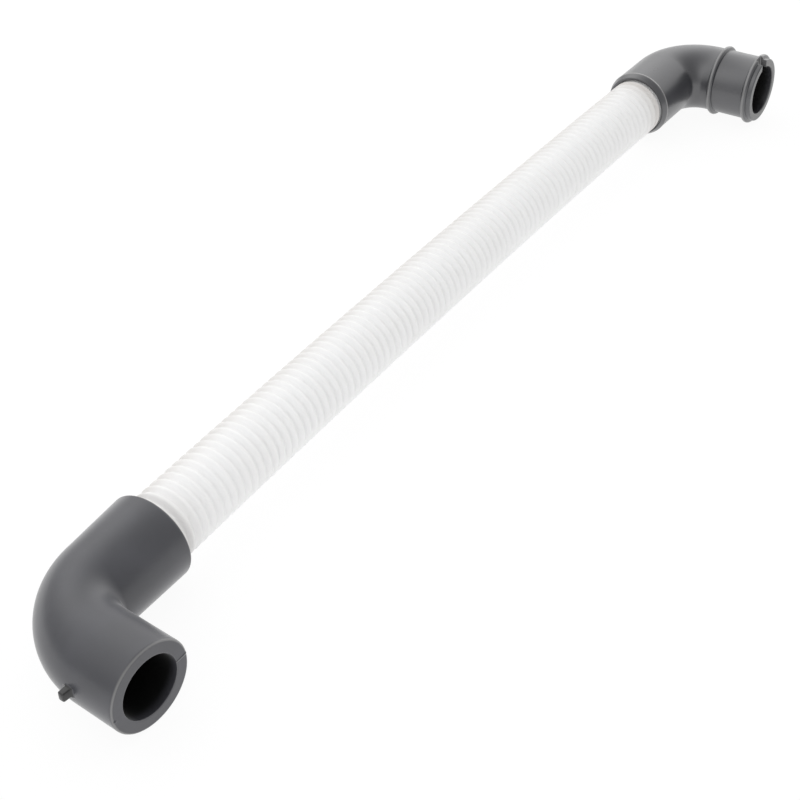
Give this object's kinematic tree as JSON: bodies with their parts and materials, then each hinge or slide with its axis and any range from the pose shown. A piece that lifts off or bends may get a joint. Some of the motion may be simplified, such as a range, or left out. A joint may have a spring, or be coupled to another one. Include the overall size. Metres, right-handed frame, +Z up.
{
  "type": "washing machine sump hose",
  "caption": "Corrugated plastic drain hose with a moulded rubber elbow on each end, one plain and one ribbed, for the sump of a washing machine.",
  "frame": {"origin": "on the ground, under the middle of the whole part's box", "axes": "+X along the hose, from the plain elbow to the ribbed one; +Z up, with the hose and both elbows lying flat; both mouths face -Y"},
  "size_m": [0.4488, 0.058, 0.0318],
  "materials": {
    "milky_plastic": "milky white blow-moulded plastic with a soft satin sheen",
    "grey_rubber_plain": "matte dark grey moulded rubber with faint mould marks",
    "grey_rubber_ribbed": "matte dark grey moulded rubber, a little smoother and lighter"
  },
  "bodies": {
    "root": {"corrugated_hose": "milky_plastic", "plain_elbow": "grey_rubber_plain", "ribbed_elbow": "grey_rubber_ribbed"}
  },
  "joints": []
}
